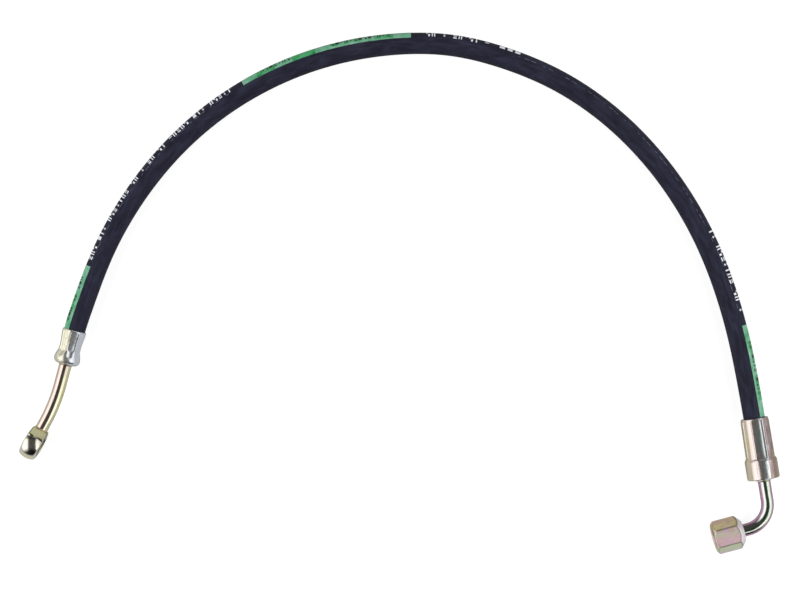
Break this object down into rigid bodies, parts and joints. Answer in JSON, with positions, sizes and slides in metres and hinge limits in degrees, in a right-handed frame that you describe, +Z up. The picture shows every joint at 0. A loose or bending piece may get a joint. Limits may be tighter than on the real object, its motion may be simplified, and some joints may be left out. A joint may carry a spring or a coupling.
{
  "type": "hydraulic hose assembly",
  "caption": "Curved wire-braid hydraulic hose with crimped ends: a banjo eye on a steel stem, and a swept elbow with an O-ring cone and a swivel nut.",
  "frame": {"origin": "middle of the two fittings' common box, on the bench that the assembly lies on", "axes": "+X from the banjo end to the swivel end, +Y from the fittings towards the middle of the hose's bow, +Z up from the bench"},
  "size_m": [0.4788, 0.3284, 0.0204],
  "materials": {
    "cover_rubber": "matte black cover with a fine wrapped-cloth print",
    "braid_wire": "bright brass-coated steel wire",
    "liner_rubber": "smooth black",
    "pale_zinc": "bright zinc with a pale yellow passivate",
    "chromate_zinc": "iridescent yellow chromate on zinc",
    "braze": "plated over, slightly rough",
    "seal_rubber": "satin black",
    "green_ink": "matte printed ink",
    "white_ink": "matte printed ink"
  },
  "bodies": {
    "assembly": {"hose_cover": "cover_rubber", "hose_wire_braid": "braid_wire", "hose_inner_tube": "liner_rubber", "banjo_ferrule": "pale_zinc", "banjo_hose_tail": "pale_zinc", "banjo_tail_braze": "braze", "banjo_stem_tube": "pale_zinc", "banjo_eye_braze": "braze", "banjo_eye": "pale_zinc", "swivel_ferrule": "chromate_zinc", "swivel_hose_tail": "chromate_zinc", "elbow_tail_braze": "braze", "elbow_tube": "chromate_zinc", "cone_nose_braze": "braze", "cone_nose": "chromate_zinc", "nose_o_ring": "seal_rubber"},
    "nut": {"swivel_nut": "chromate_zinc"}
  },
  "joints": [
    {"name": "nut_spin", "type": "hinge", "parent": "assembly", "child": "nut", "pos_m": [0.21599, -0.05634, 0.0102], "axis": [-0.9659, -0.2588, 0], "continuous": true}
  ]
}
